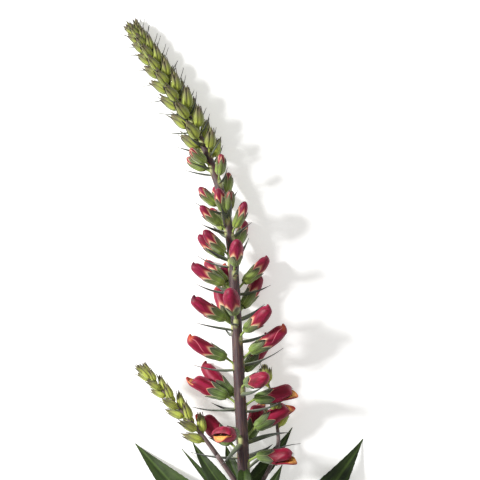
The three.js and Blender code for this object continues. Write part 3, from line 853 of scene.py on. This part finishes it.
# The hairs that hang from the hood's edge over the tongue, and those that stand on the tongue.
hood_hairs = SimpleNamespace(
    f=0.985,
    turns=np.radians(np.linspace(-78, 78, 27)),
    rise=-0.2,
    more=-0.16,
    ahead=0.05,
    sway=0.06,
    thick=0.11,
    seeds=(40, 60),
)
tongue_hairs = SimpleNamespace(
    f=0.93,
    turns=np.pi + np.radians(np.linspace(-50, 50, 15)),
    rise=0.14,
    more=0.14,
    ahead=0.02,
    sway=0.08,
    thick=0.1,
    seeds=(70, 80),
)
for floret, mouth in open_ones:
    wide = mouth.get("wide", 1)
    inner = []
    for x, end in threads:
        roof = np.interp(end, end_shares, hood_heights) - 2.6 * wall
        places = zip((0.3, 0.6, 0.9, 1, 1), (-0.5, -0.05, 0.3, 0.5, roof), (0.36, 0.5, 0.65, 0.78, end))
        points = [within(floret, x * wide * k, y, z) for k, y, z in places]
        thread = rod_along(points, [0.3, 0.28, 0.25, 0.22, 0.24])
        mark(thread, tint=0.4)
        inner.append(thread)
        for aside in (-0.07, 0.07) if x else ():
            tips = [(x * wide + aside * k, roof - 0.02 * k, end + 0.012 * k) for k in range(3)]
            lobe = rod_along([within(floret, *tip) for tip in tips], [0.5, 0.75, 0.4])
            mark(lobe, tint=0.85)
            inner.append(lobe)
    for hairs in (hood_hairs, tongue_hairs):
        count = len(hairs.turns)
        turned = np.sin(hairs.turns), np.cos(hairs.turns)
        edge = open_place(np.full(count, hairs.f), *turned, np.ones(count), **mouth)[0]
        for k, (x, y, z) in enumerate(edge):
            rise = hairs.rise + hairs.more * chance(k + hairs.seeds[0] * floret.n)
            bend = jitter(k + hairs.seeds[1] * floret.n, hairs.sway)
            end = within(floret, x + bend, y + rise, z + hairs.ahead)
            inner.append(lash_between(within(floret, x, y, z), end, hairs.thick))
    name = f"{floret.n:02d}"
    inner = joined(inner)
    mark(inner, grain=corners(inner))
    set_down(inner, "stamens_" + name, ["corolla_" + name], stamen_skin)

# Each red corolla stands in a green calyx of five pointed sepals, which are joined in a cup at
# their foot, on a short thin pedicel. The sepals go grey-purple towards their tips and edges.
sepal_thickness = 0.4
off_corolla = 0.28
cup_swell = 0.9
# How far sepals lift at their tips: on open corollas, on the lowest closed ones and on the others.
lift_open, lift_low, lift_high = 0.6, 0.25, 0.1
low_ones = 20
pedicel_neck = np.array([1.9, 1.5, 1.2, 1, 0.95, 0.95, 1.05, 1.35, 1.9])


def on_floret(floret, f, turns, off):
    """Points over a corolla's skin, from its length shares, its turns and millimetres off it."""
    r = swell(f) + off / floret.radius
    return within(floret, r * np.sin(turns), r * np.cos(turns) + swing(f, floret.hook), f)


def five_sepals(columns, rows, lift, flare, keel=0.28, shingle=0.12):
    """Five sepals side by side, unrolled: their turn, their share of the calyx and their rise."""
    sepals = []
    for k in range(5):
        sepal = sheet_of(columns, rows)
        places = corners(sepal)
        x, y = places[:, 0].copy(), places[:, 1].copy()
        past_notch = np.clip((y - notch) / (1 - notch), 0, 1)
        width = np.maximum(1 - past_notch**sepal_taper, 0.03)
        overlap = 1.12 - 0.1 * past_notch
        places[:, 0] = math.radians(sepal_turn) * (k + 0.5 * x * width * overlap)
        crown = keel * np.exp(-((x / 0.16) ** 2)) * smooth(0.05, 0.3, y) * smooth(1, 0.6, y)
        places[:, 2] = lift * (1 - 0.75 * x**2) + crown + flare * past_notch**2 + shingle * x
        move_corners(sepal, places)
        grain = np.stack([x * 1.5, y * 0.6, np.full(len(x), 5.0 * k)], axis=1)
        mark(sepal, grain=grain, rim=np.abs(x), along=y)
        sepals.append(sepal)
    return joined(sepals)


def reseeded(piece, seed):
    """Shifts a copy's grain, so that no two have the same mottle."""
    mark(piece, grain=read_mark(piece, "grain") + [0, 0, seed * 1.7])


def pedicel_of(floret):
    """The thin stem of a floret, which flares into the stalk and into the calyx."""
    elbow = floret.root + (floret.base - floret.root) * 0.8 - floret.axis * 0.06 * floret.calyx_length
    t = np.linspace(0, 1, len(pedicel_neck))[:, None]
    seat = floret.base + floret.axis * 0.4
    points = floret.root * (1 - t) ** 2 + elbow * 2 * t * (1 - t) + seat * t**2
    return rod_along(points, floret.pedicel * pedicel_neck)


flat_calyx = five_sepals(8, 14, 0.4, 0)
calyxes = []
for floret in red:
    calyx = copy_of(flat_calyx)
    turns, along, rise = corners(calyx).T
    opens = lift_open if floret.n in opened else lift_low if floret.n < low_ones else lift_high
    cup = cup_swell * np.exp(-(((along - 0.2) / 0.16) ** 2))
    rise = rise + cup + opens * smooth(0.72, 1, along) ** 2 * (0.6 + 0.8 * chance(floret.n + 90))
    move_corners(calyx, on_floret(floret, along * floret.tip_share, turns, off_corolla + rise))
    reseeded(calyx, floret.n)
    mark(calyx, dark=smooth(26, 4, floret.n))
    calyxes.append(calyx)
calyx = joined(calyxes)
modified(calyx, "SOLIDIFY", thickness=sepal_thickness, offset=-1)
calyx = joined([calyx] + [pedicel_of(floret) for floret in red])


def sepal_finish(name, greens, tip_tint, flush, pale):
    """A hairy green skin: its colour along a sepal, how dark its tip's edges are, how pale its rim."""
    finish = new_finish(
        name,
        {
            "Roughness": 0.6,
            "Sheen Weight": 0.35,
            "Sheen Roughness": 0.5,
            "Sheen Tint": (0.8, 0.9, 0.75, 1),
            "Subsurface Weight": 0.06,
            "Subsurface Radius": (0.4, 1, 0.2),
            "Subsurface Scale": 0.0015,
        },
    )
    uneven = maths(finish, "MULTIPLY", maths(finish, "SUBTRACT", mottle(finish, 1.1, 3), 0.5), 0.7)
    green = ramp(finish, maths(finish, "ADD", "along", uneven), *zip((0, 0.3, 0.6, 0.85, 1), greens))
    dull, bright = (0.62, 0.6, 0.58, 1), (1.12, 1.1, 1.05, 1)
    blotches = ramp(finish, mottle(finish, 2.4, 5), (0.34, dull), (0.62, bright))
    green = blended(finish, 0.85, green, blotches, "MULTIPLY")
    green = blended(finish, "dark", green, (0.56, 0.66, 0.72, 1), "MULTIPLY")
    flushed = maths(finish, "MULTIPLY", ramp(finish, "rim", (0.5, 0), (1, 1)), flush)
    green = blended(finish, maths(finish, "MULTIPLY", flushed, "along"), green, tip_tint)
    pale_rim = ramp(finish, "rim", (0.86, 0), (0.97, pale))
    pale_rim = maths(finish, "MULTIPLY", pale_rim, between(finish, "along", 0.95, 0.6, 0, 1))
    green = blended(finish, pale_rim, green, (176, 182, 122))
    vein = maths(finish, "MULTIPLY", ramp(finish, "rim", (0.02, 0.6), (0.09, 0)), 0.1 + 0.5 * pale)
    green = blended(finish, vein, green, (150, 166, 100))
    connect(finish, green, mottle(finish, 8, 5), 0.0003)
    return finish


calyx_greens = [(148, 166, 62), (120, 142, 52), (108, 122, 56), (92, 92, 62), (70, 56, 56)]
sepal_skin = sepal_finish("sepal_skin", calyx_greens, (58, 44, 48), flush=0.75, pale=0.8)
set_down(calyx, "calyxes", ["flower_stalk"], sepal_skin)

# The buds of the spike's tip are still shut in their calyxes: five pointed sepals of uneven length
# round a small egg, yellow-green at their foot and grey-purple towards their tips.
bud_shares = [-0.06, 0, 0.1, 0.26, 0.5, 0.7, 0.85, 0.95, 1, 1.12]
bud_widths = [0.3, 0.52, 0.85, 1.04, 0.98, 0.72, 0.45, 0.26, 0.17, 0.03]
core_width = 0.84
bud_sepal_thickness = 0.3
usual_radius = 3.4


def over_bud(bud, f, turns, off):
    """Points over a green bud, from its length shares, its turns and millimetres off it."""
    r = np.interp(f, bud_shares, bud_widths) + off / bud.radius
    return within(bud, r * np.sin(turns), r * np.cos(turns), f)


core_rings = [(f, 0, w * core_width, w * core_width) for f, w in zip(bud_shares[1:-1], bud_widths[1:-1])]
bud_core = tube_of_rings(8, core_rings)
core_shape = corners(bud_core)
mark(bud_core, grain=core_shape, rim=0.5, along=0.3 + 0.5 * core_shape[:, 2])
flat_bud = five_sepals(6, 10, 0.3, 0.45, keel=0.05, shingle=0.26)


def green_bud(bud, seed, puff=0):
    """A bud's sepals and its core. Each sepal has its own length, and lifts a little at its tip."""
    sepals = copy_of(flat_bud)
    turns, along, rise = corners(sepals).T
    sepal = np.round(turns / math.radians(sepal_turn))
    chances = np.array([chance(seed * 5 + k) for k in range(7)])[sepal.astype(int)]
    share = along * (0.86 + 0.34 * chances)
    lifted = smooth(0.5, 1, along) ** 2 * (0.25 + 1.45 * chances)
    off = rise * bud.radius / usual_radius + lifted + puff * smooth(0, 0.3, along)
    move_corners(sepals, over_bud(bud, share, turns + 0.25 * along, off))
    reseeded(sepals, seed)
    core = copy_of(bud_core)
    move_corners(core, within(bud, *core_shape.T))
    return [sepals, core]


buds = []
sepals = []
for floret in green:
    tip_puff = 0.2 * smooth(58, 76, floret.n)
    shell, core = green_bud(floret, floret.n, tip_puff)
    sepals.append(shell)
    buds += [core, pedicel_of(floret)]
shell = joined(sepals)
modified(shell, "SOLIDIFY", thickness=bud_sepal_thickness, offset=-1)
tip_buds = joined([shell] + buds)

bud_greens = [(184, 196, 74), (150, 162, 60), (120, 124, 58), (96, 82, 58), (76, 50, 54)]
bud_skin = sepal_finish("bud_skin", bud_greens, (70, 50, 52), flush=0.9, pale=0.15)
set_down(tip_buds, "tip_buds", ["flower_stalk"], bud_skin)

# A narrow pointed bract stands below every floret, folded along its keel, twisted, dark grey-green,
# and curled up at its tip.
bract_thickness = 0.4
least_bract_length = 12
more_bract_length = 30
least_bract_width = 2
more_bract_width = 5.4
least_bract_angle = 20
more_bract_angle = 72
# Bracts as the photograph shows them, read off it: the pixel column and row of the far end.
# Then its height above the surface in millimetres, and how far the bract curls.
seen_bracts = {4: (223, 459, 40, 0.12), 1: (297, 431, 32, -0.3), 3: (287, 425, 42, -0.25)}
seen_bract_width = 7
flat_bract = sheet_of(6, 14)
flat = corners(flat_bract)
mark(flat_bract, grain=flat * [1.5, 2, 1], rim=np.abs(flat[:, 0]), along=flat[:, 1])


def bract_on(place, out, direction, length, width, curl, seed):
    """One bract on a stem, with its own bend."""
    wide = unit(np.cross(direction, out * 0.3 + place.along * 0.7))
    under = unit(np.cross(wide, direction))
    root = place.middle - place.along * 0.1 * length + out * place.radius * 0.5
    bract = copy_of(flat_bract)
    x, t = corners(bract)[:, :2].T
    line = root + np.outer(t * (length + place.radius * 0.5), direction)
    sag = jitter(seed + 40, 0.05) - 0.02
    line += np.outer(curl * length * t**2 + sag * length * np.sin(np.pi * t), place.along)
    line += np.outer(jitter(seed + 80, 0.06) * length * t**2, wide)
    line[:, 2] = np.maximum(line[:, 2], (1 - t) * 0.45)
    half = width / 2 * np.sin(np.pi * (0.22 + 0.78 * t**0.85)) * (1 - 0.3 * smooth(0.1, 0.7, t))
    half = np.maximum(half, 0.26 * (1 - t) + 0.1)
    twist = math.radians(jitter(seed + 120, 26)) + math.radians(jitter(seed + 160, 50)) * t
    across = np.outer(np.cos(twist), wide) + np.outer(np.sin(twist), under)
    down = np.outer(-np.sin(twist), wide) + np.outer(np.cos(twist), under)
    keel = (0.45 * half + 0.25 * (1 - t)) * (1 - np.abs(x) ** 1.5)
    move_corners(bract, line + across * (x * half)[:, None] + down * keel[:, None])
    reseeded(bract, seed)
    return bract


bracts = []
for floret in spike:
    n, low = floret.n, floret.low
    angle = least_bract_angle + more_bract_angle * low**0.9 + jitter(n + 500, 7)
    angle = math.radians(angle + 20 * smooth(0.65, 0.3, low))
    direction = leaning(floret.place, floret.out, angle)
    length = least_bract_length + more_bract_length * low**2.3
    length += 5 * smooth(0.62, 0.4, low) * smooth(0.1, 0.2, low)
    curl = 0.14 + jitter(n + 700, 0.12)
    width = least_bract_width + more_bract_width * low**1.5 - smooth(0.6, 0.3, low)
    if n in seen_bracts:
        column, row, height, curl = seen_bracts[n]
        end = np.array([(column - foot_pixel[0]) * pixel, (foot_pixel[1] - row) * pixel, height])
        from_stalk = end - floret.place.middle - curl * length * floret.place.along
        direction = unit(from_stalk)
        length = np.linalg.norm(from_stalk) - floret.place.radius * 0.5
        width = seen_bract_width
    bracts.append(bract_on(floret.place, floret.out, direction, length, width, curl, n))
bract = joined(bracts)
modified(bract, "SOLIDIFY", thickness=bract_thickness, offset=-1)

bract_skin = new_finish("bract_skin", {"Roughness": 0.6, "Sheen Weight": 0.3, "Sheen Roughness": 0.5})
bract_tints = [(142, 150, 92), (98, 108, 76), (72, 80, 66), (58, 48, 54)]
bract_green = ramp(bract_skin, "along", *zip((0, 0.16, 0.6, 1), bract_tints))
mottled = ramp(bract_skin, mottle(bract_skin, 2, 3), (0.35, 0.66), (0.65, 1.1))
bract_green = blended(bract_skin, 0.8, bract_green, mottled, "MULTIPLY")
dark_rim = ramp(bract_skin, "rim", (0.4, 0), (1, 0.8))
bract_green = blended(bract_skin, dark_rim, bract_green, (40, 44, 40))
connect(bract_skin, bract_green, mottle(bract_skin, 8, 3), 0.0002)
set_down(bract, "bracts", ["flower_stalk"], bract_skin)

# Two thin side shoots grow from the lower stalk, with small green buds and bracts in the same
# spiral. No bud grows where a floret lies over the shoot.
shoots = {
    "side_shoot_left": SimpleNamespace(
        start=92,
        turn=215,
        through=[(-36, 134, 30), (-62, 165, 30), (-89, 193, 27)],
        thick=2.3,
        buds=18,
        first_at=0.36,
        first_turn=170,
        bud_length=16,
        turns_up=False,
        bare=(1, 1),
    ),
    "side_shoot_right": SimpleNamespace(
        start=78,
        turn=350,
        through=[(23, 128, 14), (23, 146, 12), (19, 169, 17), (13, 191, 16)],
        thick=2,
        buds=13,
        first_at=0.5,
        first_turn=350,
        bud_length=14,
        turns_up=True,
        bare=(0.68, 0.86),
    ),
}
stem_steps = 16
steps_a_rod = 4
stem_narrows = 0.56
shoot_spread = 36
less_spread = 20
shoot_reach = 1.6
shoot_bract_width = 2.6


def blade_start(s, turn):
    """Where a side shoot or a leaf starts, inside the stalk."""
    place = stalk_at(s)
    return place.middle + outwards(place, turn) * place.radius * 0.5


def curve_point(points, share):
    """A point and a direction on a smooth curve through points, at a share of their count."""
    ends = [2 * points[0] - points[1]] + list(points) + [2 * points[-1] - points[-2]]
    at = share * (len(points) - 1)
    k = min(int(at), len(points) - 2)
    t = at - k
    p0, p1, p2, p3 = ends[k : k + 4]
    d0, d1, d2 = [math.sqrt(np.linalg.norm(b - a)) for a, b in ((p0, p1), (p1, p2), (p2, p3))]
    out = ((p1 - p0) / d0 - (p2 - p0) / (d0 + d1) + (p2 - p1) / d1) * d1
    into = ((p2 - p1) / d1 - (p3 - p1) / (d1 + d2) + (p3 - p2) / d2) * d1
    square = 3 * (p2 - p1) - 2 * out - into
    cube = 2 * (p1 - p2) + out + into
    point = p1 + out * t + square * t**2 + cube * t**3
    return point, unit(out + 2 * square * t + 3 * cube * t**2)


shoot_greens = [(196, 204, 80), (170, 182, 70), (140, 144, 66), (104, 92, 62), (78, 52, 56)]
shoot_bud_skin = sepal_finish("shoot_bud_skin", shoot_greens, (72, 52, 54), flush=0.85, pale=0.15)
shoot_skin = new_finish("shoot_skin", {"Roughness": 0.5, "Sheen Weight": 0.15})
shoot_colour = ramp(shoot_skin, mottle(shoot_skin, 1.5, 4), (0.3, (78, 58, 66)), (0.7, (118, 100, 92)))
connect(shoot_skin, shoot_colour, mottle(shoot_skin, 6, 4), 0.0002)
for name, shoot in shoots.items():
    points = [blade_start(shoot.start, shoot.turn)] + [np.array(p, dtype=float) for p in shoot.through]
    line = [curve_point(points, k / stem_steps)[0] for k in range(stem_steps + 1)]
    radii = shoot.thick * (1 - stem_narrows * np.linspace(0, 1, stem_steps + 1))
    rods = [slice(k, k + steps_a_rod + 1) for k in range(0, stem_steps, steps_a_rod)]
    stem = joined([rod_along(line[part], radii[part]) for part in rods])
    shells = []
    others = []
    for k in range(shoot.buds):
        young = k / shoot.buds
        share = 1 - (1 - shoot.first_at) * (1 - young) ** 1.25
        middle, along = curve_point(points, share)
        across = unit(np.array([along[1], -along[0], 0]))
        radius = shoot.thick * (1 - 0.5 * share)
        place = SimpleNamespace(middle=middle, along=along, across=across, radius=radius)
        out = outwards(place, shoot.first_turn + turn_step * k + jitter(k + 900 + shoot.start, 12))
        if shoot.bare[0] < share < shoot.bare[1]:
            continue
        if shoot.turns_up:
            out[2] = abs(out[2])
        length = shoot.bud_length * (1 - 0.4 * young)
        spread = math.radians(shoot_spread - less_spread * young)
        bud = set_on(place, out, spread, shoot_reach, length * 1.08, 0.235 * length)
        shell, core = green_bud(bud, k + shoot.start)
        direction = leaning(place, out, 1.4 * spread)
        bract = bract_on(place, out, direction, 0.95 * length, shoot_bract_width, 0.1, k + shoot.start)
        shells += [shell, bract]
        neck = bud.base + bud.axis * 0.5
        path = [bud.root, (bud.root + neck) / 2 + out * 0.3, neck]
        others += [core, rod_along(path, [1.1, 0.8, 1.1])]
    middle = curve_point(points, 0.95)[0]
    end = SimpleNamespace(middle=middle, along=curve_point(points, 1)[1], radius=shoot.thick * 0.3)
    last = set_on(end, np.array([0, 0, 1.0]), 0.1, 0.5, 0.95 * shoot.bud_length, 0.22 * shoot.bud_length)
    shell, core = green_bud(last, 77)
    shell = joined(shells + [shell])
    modified(shell, "SOLIDIFY", thickness=bud_sepal_thickness, offset=-1)
    shoot_buds = joined([shell, core] + others)
    set_down(shoot_buds, name + "_buds", [name], shoot_bud_skin)
    set_down(stem, name + "_stem", [name], shoot_skin)
for model in (bud_core, flat_bud, flat_calyx, flat_bract, rod, lash):
    bpy.data.objects.remove(model)

# Leaves grow from the lower stalk: pointed blades, dark green, finely toothed, folded up on both
# sides of a paler midrib, with side veins that curve towards the tip. Each has its start along the
# stalk, its turn round it, the point it bows towards, its tip, its width and its fold.
leaves = {
    "leaf_low_left": (46, 178, (-44, 72, 26), (-99, 131, 0), 31, 0.19),
    "leaf_low_right": (32, 2, (50, 60, 28), (97, 135, 0), 35, 0.19),
    "leaf_left": (76, 175, (-30, 100, 22), (-49.5, 133, 9), 15, 0.2),
    "leaf_left_narrow": (68, 160, (-34, 98, 14), (-59, 127, 5), 6.5, 0.15),
    "leaf_back": (96, 125, (-17, 110, 7), (-21, 130, 2), 11, 0.15),
    "leaf_right": (97, 85, (16, 110, 5), (36, 145, 4), 13, 0.2),
    "leaf_right_upper": (66, 340, (14, 88, 30), (27, 115, 26), 13, 0.2),
    "leaf_front": (112, 265, (-4, 104, 40), (-8, 66, 34), 13, 0.25),
}
leaf_thickness = 0.5
leaf_skin = new_finish(
    "leaf_skin",
    {
        "Roughness": 0.58,
        "Sheen Weight": 0.05,
        "Specular IOR Level": 0.32,
        "Subsurface Weight": 0.06,
        "Subsurface Radius": (0.4, 1, 0.2),
        "Subsurface Scale": 0.001,
    },
)
leaf_greens = [(26, 38, 12), (44, 60, 18), (64, 84, 28)]
leaf_colour = ramp(leaf_skin, mottle(leaf_skin, 1.3, 5), *zip((0.3, 0.55, 0.8), leaf_greens))
leaf_colour = blended(leaf_skin, ramp(leaf_skin, "vein", (0.35, 0), (1, 1)), leaf_colour, (70, 90, 38))
connect(leaf_skin, leaf_colour, mottle(leaf_skin, 9, 5), 0.0003)
for name, (start, turn, bow, tip, width, fold) in leaves.items():
    columns, rows, teeth, veins = (20, 96, 26, 9) if width > 20 else (12, 56, 14, 6)
    blade = sheet_of(columns, rows)
    x, t = corners(blade)[:, :2].T
    start, bow, tip = blade_start(start, turn), np.array(bow, dtype=float), np.array(tip, dtype=float)
    line = np.outer((1 - t) ** 2, start) + np.outer(2 * t * (1 - t), bow) + np.outer(t**2, tip)
    along = unit(np.outer(2 * (1 - t), bow - start) + np.outer(2 * t, tip - bow))
    across = unit(np.cross(along, [0, 0, 1.0]))
    up = np.cross(across, along)
    half = width / 2 * (0.16 * (1 - t) + 0.9 * np.sin(np.pi * t**0.78))
    half = half * (1 + smooth(0.8, 1, np.abs(x)) * (0.05 * (t * teeth % 1) - 0.02))
    midrib = np.exp(-((x * half / (0.035 * width + 0.25)) ** 2))
    slant = (t * veins - 0.55 * np.abs(x) ** 1.4) % 1
    side_vein = np.exp(-(((slant - 0.5) / 0.1) ** 2)) * (1 - np.abs(x)) ** 0.4
    wave = 0.035 * width * np.sin(4 * np.pi * t)
    quilt = 0.012 * width * np.cos(2 * np.pi * (slant - 0.5)) * (1 - np.abs(x)) * np.abs(x) ** 0.5
    rise = np.abs(x) * half * fold + x * wave - quilt - 0.03 * width * midrib * (1 - t)
    move_corners(blade, line + across * (x * half)[:, None] + up * rise[:, None])
    grain = np.stack([x * width * 0.05, t * width * 0.09, np.full(len(x), width)], axis=1)
    mark(blade, grain=grain, vein=np.maximum(midrib * 0.95, side_vein * 0.62))
    modified(blade, "SOLIDIFY", thickness=leaf_thickness, offset=-1)
    set_down(blade, name + "_blade", [name], leaf_skin)

# A plain pale surface under the spike, soft light from the upper left, and the camera, which looks
# straight down as the photograph looks at the spike. Places here are in metres.
camera_distance = 2
frame_width = 0.408
frame_middle = (-0.0034, 0.0585, 0.024)
sensor_width = 36
lamp_place = (-1.9, 0.62, 1.3)
lamp_size = 0.42
lamp_power = 88
daylight = 0.5
bpy.ops.object.select_all(action="DESELECT")
bpy.ops.mesh.primitive_plane_add(size=8)
surface = bpy.context.object
surface.name = "surface"
# The surface glows a little, warm white: painted light, which keeps the shadows on it light and warm.
surface_finish = new_finish(
    "surface_finish",
    {
        "Base Color": (0.82, 0.82, 0.82, 1),
        "Roughness": 0.9,
        "Emission Color": (1, 0.985, 0.94, 1),
        "Emission Strength": 0.4,
        "Specular IOR Level": 0.1,
    },
)
surface.data.materials.append(surface_finish)

world = bpy.data.worlds.new("studio")
bpy.context.scene.world = world
world.use_nodes = True
world.node_tree.nodes["Background"].inputs["Color"].default_value = (1, 1, 1, 1)
world.node_tree.nodes["Background"].inputs["Strength"].default_value = daylight

bpy.ops.object.light_add(type="AREA", location=lamp_place)
lamp = bpy.context.object
lamp.data.shape = "DISK"
lamp.data.size = lamp_size
lamp.data.energy = lamp_power
lamp.rotation_euler = (Vector(frame_middle) - lamp.location).to_track_quat("-Z", "Y").to_euler()

bpy.ops.object.camera_add(location=(frame_middle[0], frame_middle[1], frame_middle[2] + camera_distance))
camera = bpy.context.object
camera.data.sensor_width = sensor_width
camera.data.lens = sensor_width * camera_distance / frame_width
bpy.context.scene.camera = camera
bpy.context.scene.view_settings.view_transform = "Standard"
